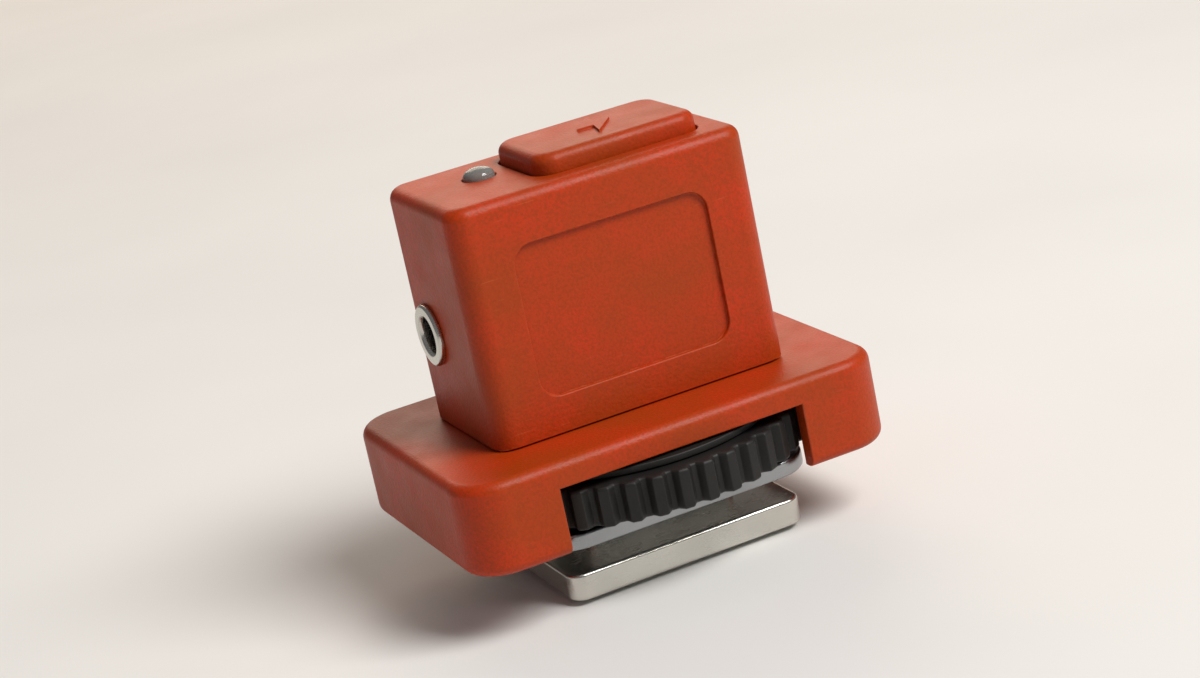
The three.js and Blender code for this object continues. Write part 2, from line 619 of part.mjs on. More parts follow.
// Two wires rise from the foot to the back of the board: the sync contact's and the foot's own.
function makeWires() {
  const end = ON_BOARD + WIRE_RADIUS;
  const start = TERMINAL.top + GAP;
  const syncWire = [[0, 0.9, start], [0.1, 1.3, start + 1.1], [0.3, 1.1, start + 2.5]];
  syncWire.push([0.3, end, start + 3.7]);
  part("sync_wire", "red", wire(syncWire, WIRE_RADIUS, 12));
  const [x, y] = FOOT_SCREWS[3];
  const head = BASE.top + WIRE_RADIUS + GAP;
  const groundWire = [[x, y, head], [x - 0.2, y - 0.4, head + 0.8], [x - 1, 1.4, head + 1.5]];
  groundWire.push([x - 1.2, end, head + 2.6]);
  part("ground_wire", "black", wire(groundWire, WIRE_RADIUS, 12));
}

// ---- Battery tray ------------------------------------------------------------------------------------

function makeBatteryTray() {
  const { left, bottom, top, front, back, floor } = TRAY;
  const middle = (bottom + top) / 2;
  const frame = block(left, BEZEL.inner + SUNK, front, back, bottom, top);
  const bezel = block(BEZEL.inner, FAR, front, back, BEZEL.bottom, BEZEL.top).intersect(towerOutside());
  const pocket = peg(CELL.x, CELL.z, front + floor - GAP / 2, FAR, CELL.radius + GAP, 40);
  // The two contacts stay in the body, so the tray is open where it passes them.
  const cellBack = CELL.front + CELL.thick;
  const leafHalf = LEAF_CONTACT.height / 2 + CONTACT_ROOM;
  const leafPath = block(-FAR, CELL.x, cellBack - CELL_LID.height, 0, middle - leafHalf, middle + leafHalf);
  const rimBottom = CELL.z + CELL.radius - RIM_CONTACT.height / 2;
  const rimPath = block(-FAR, RIM_CONTACT.right + GAP, RIM_CONTACT.front - CONTACT_ROOM, 0, rimBottom, FAR);
  const nailGroove = block(
    TOWER.width / 2 - NAIL_GROOVE.depth, FAR, back - NAIL_GROOVE.width, 0,
    middle - NAIL_GROOVE.halfHeight, middle + NAIL_GROOVE.halfHeight,
  );
  part("battery_tray", "orange", cut(join(frame, bezel), pocket, leafPath, rimPath, nailGroove));

  const can = peg(CELL.x, CELL.z, CELL.front, cellBack - CELL_LID.height, CELL.radius, 40);
  const lid = peg(CELL.x, CELL.z, cellBack - 2 * CELL_LID.height, cellBack, CELL.radius - CELL_LID.inset, 40);
  part("coin_cell", "steel", join(can, lid));
}

// A sprung strip from a bent outline in X and Y, as tall as height.
function bentStrip(centreline, thick, z, height) {
  const near = centreline.map(([x, y]) => new THREE.Vector2(x, y));
  const far = centreline.map(([x, y]) => new THREE.Vector2(x, y + thick)).reverse();
  return slab(new THREE.Shape([...near, ...far]), z - height / 2, z + height / 2);
}

// The negative leaf bears on the cell's lid. The positive finger lies over the can's rim.
function makeCellContacts() {
  const back = BOARD.front - GAP / 2;
  const front = back - CONTACT_METAL;
  const touch = CELL.front + CELL.thick + LEAF_CONTACT.stand;
  const leaf = [[4.6, front], [3, front], [1.2, touch], [0.4, touch], [-0.4, touch + 0.4]];
  part("cell_contact_negative", "gold", bentStrip(leaf, CONTACT_METAL, CELL.z, LEAF_CONTACT.height));
  const { left, right } = RIM_CONTACT;
  const under = CELL.z + CELL.radius + GAP;
  const over = under + CONTACT_METAL;
  const upright = block(left, right, front, back, under - RIM_CONTACT.height, over);
  const finger = block(left, right, RIM_CONTACT.front, back, under, over);
  part("cell_contact_positive", "gold", join(upright, finger));
}

// ---- Assembly ----------------------------------------------------------------------------------------

makeFoot();
makeSyncContact();
makeLock();
makeBase();
makeFrontShell();
makeRearCover();
makeScrews();
makeTestButton();
makeTestSwitch();
makeStatusLight();
makeBoard();
makeAntenna();
makeSyncJack();
makeChannelSwitch();
makePowerSwitch();
makeWires();
makeBatteryTray();
makeCellContacts();

export default trigger;
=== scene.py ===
"""Looks for a compact shoe-mounted wireless flash trigger: finished forms, materials, light and camera.

Forms are built in millimetres from the boxes of the CAD nodes they stand for, then scaled to metres.
"""

import json
import math
from types import SimpleNamespace

import bmesh
import bpy
from mathutils import Matrix, Quaternion, Vector


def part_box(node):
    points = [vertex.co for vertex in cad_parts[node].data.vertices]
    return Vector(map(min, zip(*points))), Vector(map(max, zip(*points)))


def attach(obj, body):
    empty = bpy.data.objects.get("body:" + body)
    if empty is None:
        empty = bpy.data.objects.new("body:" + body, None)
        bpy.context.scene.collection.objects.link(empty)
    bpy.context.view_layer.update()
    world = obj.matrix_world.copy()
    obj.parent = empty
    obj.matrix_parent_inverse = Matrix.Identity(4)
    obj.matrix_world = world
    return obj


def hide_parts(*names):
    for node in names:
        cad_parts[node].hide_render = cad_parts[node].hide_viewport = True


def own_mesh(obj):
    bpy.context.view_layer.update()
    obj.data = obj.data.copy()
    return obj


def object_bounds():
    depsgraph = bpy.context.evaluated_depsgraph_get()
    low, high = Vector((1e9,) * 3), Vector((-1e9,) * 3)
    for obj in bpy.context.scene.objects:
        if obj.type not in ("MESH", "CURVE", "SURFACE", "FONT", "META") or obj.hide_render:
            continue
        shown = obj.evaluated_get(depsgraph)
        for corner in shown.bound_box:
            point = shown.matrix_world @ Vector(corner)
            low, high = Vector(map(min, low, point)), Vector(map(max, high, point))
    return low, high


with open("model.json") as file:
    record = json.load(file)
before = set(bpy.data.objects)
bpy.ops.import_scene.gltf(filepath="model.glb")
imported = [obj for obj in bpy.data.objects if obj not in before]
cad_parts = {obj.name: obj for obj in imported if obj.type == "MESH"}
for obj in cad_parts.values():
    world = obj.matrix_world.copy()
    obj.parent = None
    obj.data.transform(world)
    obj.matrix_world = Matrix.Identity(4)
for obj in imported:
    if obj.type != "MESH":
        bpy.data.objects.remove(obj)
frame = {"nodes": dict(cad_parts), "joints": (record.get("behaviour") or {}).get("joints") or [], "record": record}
cad_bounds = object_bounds()

MM = 0.001
ARC = 10  # segments in a quarter circle of an outline
CLEARANCE = 0.15  # round a piece in the opening that it moves in or goes through
GAP = 0.1  # between pieces that stay together
SUNK = 0.2  # how far a rib or pillar runs into the wall it grows from
BEYOND = 5.0  # how far a cutting tool runs past the form it cuts
WALL = 1.3  # the tower's wall
EDGE = 0.12  # the usual rounding of a cut edge
ROUND_STEPS = 2  # faces across a rounded edge
SHARP = 35  # an edge is rounded if its faces turn by more degrees than this
SKIN = 0.3  # an edge this close to a side of the form's box is an outer one

RECORD = frame["record"]
SLOT_OF = {part["node"]: part["material_slot"] for part in RECORD["subparts"]}
BODY_OF = {node: body for body, nodes in RECORD["behaviour"]["bodies"].items() for node in nodes}


def box(node):
    """A CAD node's box at rest, in millimetres."""
    low, high = (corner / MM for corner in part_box(node))
    middle = (low + high) / 2
    return SimpleNamespace(
        x0=low.x, x1=high.x, y0=low.y, y1=high.y, z0=low.z, z1=high.z, x=middle.x, y=middle.y, z=middle.z
    )


# ---- Outlines ----------------------------------------------------------------------------------------


def arc(x, y, radius, start, end, count=ARC):
    """Points on an arc, both ends included. Angles are in quarter turns."""
    angles = [math.pi / 2 * (start + (end - start) * i / count) for i in range(count + 1)]
    return [(x + radius * math.cos(a), y + radius * math.sin(a)) for a in angles]


def circle(x, y, radius, count=64):
    return arc(x, y, radius, 0, 4, count)[:-1]


def rectangle(x0, x1, y0, y1, corner=0.0):
    """A rectangle's outline, counter-clockwise, with rounded corners."""
    if not corner:
        return [(x1, y1), (x0, y1), (x0, y0), (x1, y0)]
    centres = [(x1 - corner, y1 - corner), (x0 + corner, y1 - corner)]
    centres += [(x0 + corner, y0 + corner), (x1 - corner, y0 + corner)]
    return [point for i, (x, y) in enumerate(centres) for point in arc(x, y, corner, i, i + 1)]


def inset(outline, depth):
    """The outline moved to its left by depth, which is inwards when it runs counter-clockwise."""
    moved = []
    for i, here in enumerate(outline):
        before, here, after = Vector(outline[i - 1]), Vector(here), Vector(outline[(i + 1) % len(outline)])
        first, second = (here - before).normalized(), (after - here).normalized()
        left = Vector((-first.y - second.y, first.x + second.x))
        cosine = max(0.3, left.length / 2)
        moved.append(here + left.normalized() * depth / cosine)
    return moved


# ---- Solids ------------------------------------------------------------------------------------------


def mesh_from(bm):
    bmesh.ops.recalc_face_normals(bm, faces=bm.faces)
    mesh = bpy.data.meshes.new("form")
    bm.to_mesh(mesh)
    bm.free()
    return mesh


def slab(outline, z0, z1, top=0.0, bottom=0.0, holes=(), steps=6):
    """An outline pushed up from z0 to z1. Its upper and lower edges are rounded by top and bottom."""
    turns = [math.pi / 2 * i / steps for i in range(steps + 1)]
    lower_edge = [(bottom * (1 - math.sin(t)), z0 + bottom * (1 - math.cos(t))) for t in turns if bottom]
    upper_edge = [(top * (1 - math.cos(t)), z1 - top * (1 - math.sin(t))) for t in turns if top]
    levels = (lower_edge or [(0, z0)]) + (upper_edge or [(0, z1)])
    bm = bmesh.new()
    ends = ([], [])
    for loop in (list(outline), *(list(reversed(hole)) for hole in holes)):
        rings = [[bm.verts.new((*p, z)) for p in inset(loop, depth)] for depth, z in levels]
        for lower, upper in zip(rings, rings[1:]):
            for i in range(len(loop)):
                bm.faces.new((lower[i - 1], lower[i], upper[i], upper[i - 1]))
        for end, ring in zip(ends, (rings[0], rings[-1])):
            end += [bm.edges.get((ring[i - 1], ring[i])) for i in range(len(ring))]
    for end in ends:
        bmesh.ops.triangle_fill(bm, edges=end, use_beauty=True)
    return mesh_from(bm)


def lathe(profile, sides, closed=False):
    """A profile of (radius, z) points turned about Z. An open profile starts and ends on the axis."""
    bm = bmesh.new()
    angles = [2 * math.pi * i / sides for i in range(sides)]
    rings = []
    for radius, z in profile:
        if radius < 1e-6:
            rings.append([bm.verts.new((0, 0, z))] * sides)
        else:
            rings.append([bm.verts.new((radius * math.cos(a), radius * math.sin(a), z)) for a in angles])
    pairs = list(zip(rings, rings[1:])) + ([(rings[-1], rings[0])] if closed else [])
    for lower, upper in pairs:
        for i in range(sides):
            corners = [lower[i - 1], lower[i], upper[i], upper[i - 1]]
            bm.faces.new(list(dict.fromkeys(corners)))
    return mesh_from(bm)


def combine(base, others, operation):
    """One mesh joined with others ("UNION") or cut by them ("DIFFERENCE")."""
    scene = bpy.context.scene.collection
    body = bpy.data.objects.new("body", base)
    tools = [bpy.data.objects.new("tool", mesh) for mesh in others]
    for thing in (body, *tools):
        scene.objects.link(thing)
    for tool in tools:
        modifier = body.modifiers.new("combine", "BOOLEAN")
        modifier.operation = operation
        modifier.solver = "EXACT"
        modifier.object = tool
    made = bpy.data.meshes.new_from_object(body.evaluated_get(bpy.context.evaluated_depsgraph_get()))
    for thing in (body, *tools):
        bpy.data.objects.remove(thing)
    made.materials.clear()
    return made


def cut(base, *tools):
    return combine(base, tools, "DIFFERENCE")


def join(base, *others):
    return combine(base, others, "UNION")


def placed(mesh, x, y, z=0.0):
    mesh.transform(Matrix.Translation((x, y, z)))
    return mesh


def facing_back(mesh):
    """Turns a form that points along +Z to point along +Y. Its own Y becomes the object's -Z."""
    mesh.transform(Matrix.Rotation(-math.pi / 2, 4, "X"))
    return mesh


def facing_left(mesh):
    """Turns a form that points along +Z to point along -X."""
    mesh.transform(Matrix.Rotation(-math.pi / 2, 4, "Y"))
    return mesh


def wall_panel(half_width, z0, z1, y0, y1, corner):
    """A slab with its outline in X and Z, pushed along Y."""
    return facing_back(slab(rectangle(-half_width, half_width, -z1, -z0, corner), y0, y1))


def outer_edges(bm, edges, underside):
    """The edges that stick out and lie near the sides of the form's box, or near its underside if asked."""
    ranges = []
    for axis in range(3):
        places = [vert.co[axis] for vert in bm.verts]
        ranges.append((min(places) + SKIN, max(places) - SKIN))
    if not underside:
        ranges[2] = (-math.inf, ranges[2][1])
    inside = {v for v in bm.verts if all(low < v.co[i] < high for i, (low, high) in enumerate(ranges))}
    return [e for e in edges if e.is_convex and not inside.intersection(e.verts)]


def soften(mesh, width, outer_only=False, underside=True):
    """Joins the faces that lie in one plane, then rounds the sharp edges.

    The shortest edge among them limits the rounding of all, but not where only the outer edges are rounded.
    """
    bm = bmesh.new()
    bm.from_mesh(mesh)
    bmesh.ops.remove_doubles(bm, verts=bm.verts, dist=1e-4)
    bmesh.ops.dissolve_limit(bm, angle_limit=math.radians(0.4), verts=bm.verts, edges=bm.edges)
    limit = math.radians(SHARP)
    edges = [e for e in bm.edges if len(e.link_faces) == 2 and e.calc_face_angle() > limit]
    if outer_only:
        edges = outer_edges(bm, edges, underside)
    bmesh.ops.bevel(
        bm, geom=edges, offset=width, offset_type="OFFSET", segments=ROUND_STEPS, profile=0.5, affect="EDGES",
        clamp_overlap=not outer_only,
    )
    bm.to_mesh(mesh)
    bm.free()


# The cuts leave very short edges inside these pieces, so only their outer edges are rounded. The front shell
# stands on the base, so its underside is left sharp.
CUT_PIECES = {"base_shell", "front_shell", "shoe_foot", "clamp_plate"}


def stand_for(node, mesh, width):
    """Makes the finished piece that is shown in place of a CAD node."""
    soften(mesh, width, node in CUT_PIECES, underside=node != "front_shell")
    mesh.transform(Matrix.Scale(MM, 4))
    mesh.shade_smooth()
    mesh.set_sharp_from_angle(angle=math.radians(50))
    piece = bpy.data.objects.new(node + "_look", mesh)
    bpy.context.scene.collection.objects.link(piece)
    normals = piece.modifiers.new("normals", "WEIGHTED_NORMAL")
    normals.keep_sharp = True
    mesh.materials.append(finish_of(SLOT_OF[node]))
    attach(piece, BODY_OF[node])
    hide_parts(node)
    return piece


def cad_form(node):
    """A copy of a CAD node's own mesh, in millimetres, for a node whose form needs only rounded edges."""
    mesh = frame["nodes"][node].data.copy()
    mesh.materials.clear()
    mesh.transform(Matrix.Scale(1 / MM, 4))
    return mesh


# ---- Materials ---------------------------------------------------------------------------------------


def srgb(red, green, blue):
    """A colour from its 0 to 255 screen values, as linear light."""
    return tuple(((c / 255 + 0.055) / 1.055) ** 2.4 for c in (red, green, blue)) + (1.0,)


class Surface:
    """A node material in the making. Textures are in the object's own metres."""

    def __init__(self, name):
        self.material = bpy.data.materials.new(name)
        self.material.use_nodes = True
        self.tree = self.material.node_tree
        self.shader = self.tree.nodes["Principled BSDF"]
        self.place = self.add("TexCoord").outputs["Object"]

    def add(self, kind, settings=None, **inputs):
        node = self.tree.nodes.new("ShaderNode" + kind)
        for key, value in (settings or {}).items():
            setattr(node, key, value)
        for key, value in inputs.items():
            self.feed(node.inputs[key.replace("_", " ")], value)
        return node

    def feed(self, socket, value):
        if isinstance(value, bpy.types.NodeSocket):
            self.tree.links.new(value, socket)
        else:
            socket.default_value = value

    def set(self, **inputs):
        for key, value in inputs.items():
            self.feed(self.shader.inputs[key.replace("_", " ")], value)

    def noise(self, size, detail=4.0, stretch=(1, 1, 1)):
        """Noise whose features are about size millimetres across, stretched along the axes."""
        scale = Vector((1 / (size * MM * s) for s in stretch))
        mapped = self.add("Mapping", Vector=self.place, Scale=scale).outputs["Vector"]
        return self.add("TexNoise", Vector=mapped, Scale=1.0, Detail=detail).outputs["Fac"]

    def between(self, factor, low, high, start, end):
        """low to high as factor goes from start to end."""
        node = self.add("MapRange", Value=factor, From_Min=start, From_Max=end, To_Min=low, To_Max=high)
        return node.outputs["Result"]

    def mix(self, factor, first, second):
        """first at 0, second at 1. The node's sockets share their names, so its colour ones go by number."""
        node = self.add("Mix", {"data_type": "RGBA"})
        self.feed(node.inputs["Factor"], factor)
        self.feed(node.inputs[6], first)
        self.feed(node.inputs[7], second)
        return node.outputs[2]

    def maths(self, operation, first, second):
        node = self.add("Math", {"operation": operation})
        self.feed(node.inputs[0], first)
        self.feed(node.inputs[1], second)
        return node.outputs[0]

    def edges(self):
        """1 on edges that stick out or sink in, 0 on flat faces."""
        rounded = self.add("Bevel", {"samples": 6}, Radius=RUB_RADIUS * MM).outputs["Normal"]
        flat = self.add("NewGeometry").outputs["Normal"]
        node = self.add("VectorMath", {"operation": "DOT_PRODUCT"})
        self.feed(node.inputs[0], rounded)
        self.feed(node.inputs[1], flat)
        return self.between(node.outputs["Value"], 1.0, 0.0, 0.86, 0.995)

    def bump(self, height, depth):
        """Bump of about depth millimetres."""
        self.set(Normal=self.add("Bump", Height=height, Strength=1.0, Distance=depth * MM).outputs["Normal"])


RUB_RADIUS = 0.18  # how far from an edge the wear reaches
PEBBLE = 0.2  # the size of the bumps in a moulded texture
PIT_SHADE = 0.86  # painted shade: the pits between them are coloured darker
STAIN_SHADE = 0.86  # how dark a stain makes metal
METAL_SPREAD = 0.08  # how much the sheen of metal varies


def moulded(name, colour, shade, worn, roughness, depth=0.025, wear=0.6):
    """Moulded plastic: spark-eroded texture with painted shade in its pits, uneven colour and sheen, fine
    scratches and rubbed edges.
    """
    surface = Surface(name)
    pebbles = surface.noise(PEBBLE, 1.0)
    # Painted shade: the pits between the bumps get a darker colour.
    pits = surface.between(pebbles, 0.7, 0.0, 0.32, 0.62)
    body = surface.mix(surface.between(surface.noise(6.0, 3.0), 0.0, 1.0, 0.36, 0.66), colour, shade)
    body = surface.mix(pits, body, tuple(c * PIT_SHADE for c in shade[:3]) + (1.0,))
    scuffs = surface.between(surface.noise(0.9, 8.0), 0.2, 1.0, 0.42, 0.62)
    scratches = surface.between(surface.noise(0.14, 2.0, (20, 1, 1)), 0.0, 1.0, 0.7, 0.78)
    rubbed = surface.maths("MULTIPLY", surface.edges(), scuffs)
    rubbed = surface.maths("MAXIMUM", rubbed, surface.maths("MULTIPLY", scratches, 0.3))
    rubbed = surface.maths("MULTIPLY", rubbed, wear)
    surface.set(Base_Color=surface.mix(rubbed, body, worn))
    sheen = surface.between(surface.noise(2.2, 5.0), roughness - 0.04, roughness + 0.04, 0.3, 0.7)
    surface.set(Roughness=surface.maths("SUBTRACT", sheen, surface.maths("MULTIPLY", rubbed, 0.15)))
    surface.set(IOR=1.48, Specular_IOR_Level=0.27)
    surface.bump(pebbles, depth)
    return surface.material


def metal(name, colour, roughness, grain, stretch=(1, 1, 1), depth=0.001):
    """Plated or brushed metal. A stretch draws the grain out along an axis."""
    surface = Surface(name)
    grainy = surface.noise(grain, 5.0, stretch)
    stain = surface.between(surface.noise(5.0, 2.0), 0.0, 1.0, 0.4, 0.75)
    dull = tuple(c * STAIN_SHADE for c in colour[:3]) + (1.0,)
    surface.set(Base_Color=surface.mix(stain, colour, dull), Metallic=1.0)
    vary = METAL_SPREAD / 2
    smudge = surface.between(surface.noise(1.6, 6.0), -vary, vary, 0.3, 0.7)
    streaks = surface.between(grainy, roughness - vary, roughness + vary, 0.3, 0.7)
    surface.set(Roughness=surface.maths("ADD", streaks, smudge))
    surface.bump(grainy, depth)
    return surface.material


def lens_plastic():
    """Milky clear plastic."""
    surface = Surface("lens_plastic")
    surface.set(Base_Color=srgb(214, 214, 208), Transmission_Weight=0.75, IOR=1.49)
    surface.set(Roughness=surface.between(surface.noise(0.8), 0.08, 0.2, 0.3, 0.7))
    surface.bump(surface.noise(0.3), 0.001)
    return surface.material


def board_laminate():
    """Green solder mask over copper tracks, which show as paler lines."""
    surface = Surface("board_laminate")
    track_pitch = 0.7 * MM
    scale = Vector((1, 1, 1)) / track_pitch
    mapped = surface.add("Mapping", Vector=surface.place, Scale=scale).outputs["Vector"]
    cells = surface.add(
        "TexVoronoi", {"feature": "DISTANCE_TO_EDGE"}, Vector=mapped, Scale=1.0, Randomness=0.35
    )
    tracks = surface.between(cells.outputs["Distance"], 1.0, 0.0, 0.05, 0.09)
    surface.set(Base_Color=surface.mix(tracks, srgb(14, 66, 38), srgb(38, 110, 62)))
    surface.set(Roughness=surface.between(surface.noise(1.0), 0.3, 0.42, 0.3, 0.7))
    surface.bump(tracks, 0.01)
    return surface.material


FINISHES = {
    "orange_plastic": lambda: moulded(
        "orange_plastic", srgb(188, 52, 8), srgb(166, 58, 4), srgb(226, 128, 84), 0.44, wear=0.45
    ),
    "black_plastic": lambda: moulded(
        "black_plastic", srgb(27, 26, 27), srgb(38, 36, 34), srgb(92, 90, 88), 0.48, depth=0.006, wear=0.35
    ),
    "white_plastic": lambda: moulded(
        "white_plastic", srgb(226, 222, 212), srgb(212, 206, 192), srgb(240, 238, 232), 0.42, depth=0.003
    ),
    "red_insulation": lambda: moulded(
        "red_insulation", srgb(158, 26, 22), srgb(140, 20, 18), srgb(190, 70, 60), 0.4, depth=0.002
    ),
    "black_insulation": lambda: moulded(
        "black_insulation", srgb(22, 22, 22), srgb(30, 30, 30), srgb(60, 60, 60), 0.4, depth=0.002
    ),
    "nickel_plate": lambda: metal(
        "nickel_plate", srgb(205, 202, 194), 0.24, grain=0.09, stretch=(12, 1, 1), depth=0.0006
    ),
    "steel": lambda: metal("steel", srgb(160, 162, 164), 0.32, grain=0.08, stretch=(14, 1, 1)),
    "gold_plate": lambda: metal("gold_plate", srgb(232, 190, 104), 0.24, grain=0.2),
    "copper": lambda: metal("copper", srgb(196, 110, 66), 0.28, grain=0.3),
    "lens_plastic": lens_plastic,
    "board_laminate": board_laminate,
}
made_finishes = {}


def finish_of(slot):
    if slot not in made_finishes:
        made_finishes[slot] = FINISHES[slot]()
    return made_finishes[slot]


# ---- Housing -----------------------------------------------------------------------------------------

base = box("base_shell")
tower = box("front_shell")
cover = box("rear_cover")
button = box("test_button")
wheel = box("lock_wheel")
washer = box("thrust_washer")
foot = box("shoe_foot")
clamp = box("clamp_plate")
tray = box("battery_tray")
bushing = box("sync_jack_bushing")
lens = box("status_lens")
insulator = box("foot_insulator")
board = box("main_board")

COVER_FACE = 5.25  # the inner face of the rear cover's plate
BASE_CORNER = 3.2
BASE_FILLET = 0.8
TOWER_CORNER = 1.6
TOWER_FILLET = 0.9
CAVITY_RADIUS = wheel.x1 + 0.5
WINDOW_HALF = 0.704 * wheel.x1  # half the finger opening over the wheel
CEILING_GAP = 0.2  # between the washer and the top of the wheel's well
WIRE_HOLE = 2.2
SEAT_DEPTH = 0.8  # of the hole for a screw's head
SHANK_SHARE = 0.53  # a screw's hole against its head, by radius
THREAD_FIT = 0.03
PAST_TIP = 0.5  # how much deeper than its screw a threaded hole is
PANEL = SimpleNamespace(share=0.326, below=3.6, above=2.7, depth=0.35, corner=1.5)
COVER_OPENING = SimpleNamespace(from_y=1.2, corner=1.1)
PILLAR = SimpleNamespace(shell=1.45, cover=1.4, web=0.6, above_screw=0.7, before_screw=0.8)
BOARD_RIB = SimpleNamespace(thick=0.55, grip=0.25, height=5.2)
BUTTON = SimpleNamespace(lip=0.6, corner=1.6, fillet=0.75, wall=1.2, lip_depth=0.75, stem=1.0)
BOLT = SimpleNamespace(proud=0.2, sunk=0.3, edge=0.06)
LENS_RADIUS = 1.15
JACK_BARREL = 1.9


def screw_holes(prefix, head_up):
    """Stepped holes for a group of screws that stand along Z."""
    tools = []
    for node in frame["nodes"]:
        if not node.startswith(prefix):
            continue
        screw = box(node)
        head = (screw.x1 - screw.x0) / 2 + CLEARANCE
        if head_up:
            seat = (screw.z1 - SEAT_DEPTH, screw.z1 + BEYOND)
        else:
            seat = (screw.z0 - BEYOND, screw.z0 + SEAT_DEPTH)
        tools.append(slab(circle(screw.x, screw.y, head, 32), *seat))
        shank = circle(screw.x, screw.y, head * SHANK_SHARE, 24)
        tools.append(slab(shank, screw.z0 - CLEARANCE, screw.z1))
    return tools


def base_shell():
    """The low base: a well for the lock wheel, open at the front and back for the fingers."""
    outline = rectangle(base.x0, base.x1, base.y0, base.y1, BASE_CORNER)
    body = slab(outline, base.z0, base.z1, top=BASE_FILLET, bottom=BASE_FILLET)
    wide = base.y1 + BEYOND
    ceiling = washer.z1 + CEILING_GAP
    cavity = slab(circle(0, 0, CAVITY_RADIUS, 128), base.z0 - BEYOND, ceiling)
    window = slab(rectangle(-WINDOW_HALF, WINDOW_HALF, -wide, wide), base.z0 - BEYOND, ceiling)
    wires = slab(circle(0, 0, WIRE_HOLE, 32), base.z0, base.z1 + BEYOND)
    screws = screw_holes("foot_screw", True) + screw_holes("shell_screw", False)
    return cut(body, join(window, cavity), wires, *screws)


def block(x0, x1, y0, y1, z0, z1):
    return slab(rectangle(min(x0, x1), max(x0, x1), y0, y1), z0, z1)


def rear_screw_hole(screw):
    """The hole for the thread of a screw that stands along Y."""
    shank = SHANK_SHARE * (screw.x1 - screw.x0) / 2 + THREAD_FIT
    return facing_back(slab(circle(screw.x, -screw.z, shank, 24), screw.y0 - PAST_TIP, screw.y1))


def shell_inside():
    """The tray's shelf, the pillars for the screws and the ribs that hold the board."""
    reach = tower.x1 - WALL + SUNK
    shelf_front = tower.y1 - WALL + SUNK
    made = [block(-reach, reach, -shelf_front, tray.y1, tower.z0, tray.z0 - CLEARANCE)]
    for screw in (box("shell_screw_1"), box("shell_screw_2")):
        side = math.copysign(reach, screw.x)
        top = screw.z1 + PILLAR.above_screw
        pillar = slab(circle(screw.x, screw.y, PILLAR.shell, 32), tower.z0, top)
        web = block(screw.x, side, screw.y - PILLAR.web, screw.y + PILLAR.web, tower.z0, top)
        made.append(join(pillar, web))
    for screw in (box("cover_screw_1"), box("cover_screw_2")):
        front = screw.y0 - PILLAR.before_screw
        back = COVER_FACE - GAP
        pillar = facing_back(slab(circle(screw.x, -screw.z, PILLAR.cover, 32), front, back))
        web = block(-reach, screw.x, front, back, screw.z - PILLAR.web, screw.z + PILLAR.web)
        made.append(join(pillar, web))
    for y in (board.y0 - GAP - BOARD_RIB.thick, board.y1 + GAP):
        for side in (-1, 1):
            inner, outer = side * (board.x1 - BOARD_RIB.grip), side * reach
            made.append(block(inner, outer, y, y + BOARD_RIB.thick, board.z1 - BOARD_RIB.height, board.z1))
    return made


def front_shell():
    """The tower: a box open at the bottom and the back, with a shallow panel on its front."""
    outline = rectangle(tower.x0, tower.x1, tower.y0, tower.y1, TOWER_CORNER)
    body = slab(outline, tower.z0, tower.z1, top=TOWER_FILLET)
    inside = rectangle(tower.x0 + WALL, tower.x1 - WALL, tower.y0 + WALL, tower.y1 - WALL)
    cavity = slab(inside, tower.z0 - BEYOND, tower.z1 - WALL)
    rear = wall_panel(
        -cover.x0 + CLEARANCE, tower.z0 - BEYOND, cover.z1 + CLEARANCE,
        COVER_OPENING.from_y, tower.y1 + BEYOND, COVER_OPENING.corner,
    )
    panel = wall_panel(
        PANEL.share * (tower.x1 - tower.x0), tower.z0 + PANEL.above, tower.z1 - PANEL.below,
        tower.y0 - BEYOND, tower.y0 + PANEL.depth, PANEL.corner,
    )
    under_roof = tower.z1 - WALL
    lip = BUTTON.lip - CLEARANCE
    button_hole = slab(
        rectangle(button.x0 + lip, button.x1 - lip, button.y0 + lip, button.y1 - lip, BUTTON.corner + GAP),
        under_roof - BEYOND / 2, tower.z1 + BEYOND,
    )
    lens_hole = slab(circle(lens.x, lens.y, LENS_RADIUS + GAP, 40), under_roof - 1, tower.z1 + BEYOND)
    jack_outline = circle(bushing.z, bushing.y, JACK_BARREL + GAP, 48)
    jack_hole = facing_left(slab(jack_outline, -tower.x0 - WALL - 1, -tower.x0 + BEYOND))
    slot = slab(
        rectangle(tower.x1 - WALL - 1, tower.x1 + BEYOND, tray.y0 - CLEARANCE, tray.y1 + CLEARANCE),
        tray.z0 - CLEARANCE, tray.z1 + CLEARANCE,
    )
    hollow = join(cut(body, cavity, rear), *shell_inside())
    threads = [rear_screw_hole(box(f"cover_screw_{i}")) for i in (1, 2)] + screw_holes("shell_screw", False)
    return cut(hollow, panel, button_hole, lens_hole, jack_hole, slot, *threads)


def test_button():
    """A hollow cap with a lip that holds it under the tower's roof, and a stem that presses the switch."""
    top = button.z1 - BOLT.proud
    lip = BUTTON.lip
    inner = rectangle(button.x0 + lip, button.x1 - lip, button.y0 + lip, button.y1 - lip, BUTTON.corner)
    outer = rectangle(button.x0, button.x1, button.y0, button.y1, BUTTON.corner)
    under_roof = tower.z1 - WALL
    bottom = under_roof - BUTTON.lip_depth
    cap = slab(inner, bottom, top, top=BUTTON.fillet, steps=8)
    rim = slab(outer, bottom, under_roof - GAP)
    hollow = slab(inset(inner, BUTTON.wall), bottom - BEYOND, top - BUTTON.wall)
    plunger = box("test_switch_plunger")
    stem = slab(circle(plunger.x, plunger.y, BUTTON.stem, 32), button.z0, top - 1)
    return join(cut(join(cap, rim), hollow), stem, bolt_mark(top))


def bolt_mark(top):
    """A raised lightning bolt, the usual sign for flash."""
    outline = [(0.5, 2.4), (-1.5, -0.4), (-0.2, -0.4), (-0.6, -2.4), (1.5, 0.5), (0.2, 0.5)]
    outline = [(button.x + x, y) for x, y in outline]
    return slab(outline, top - BOLT.sunk, button.z1, top=BOLT.edge, steps=3)


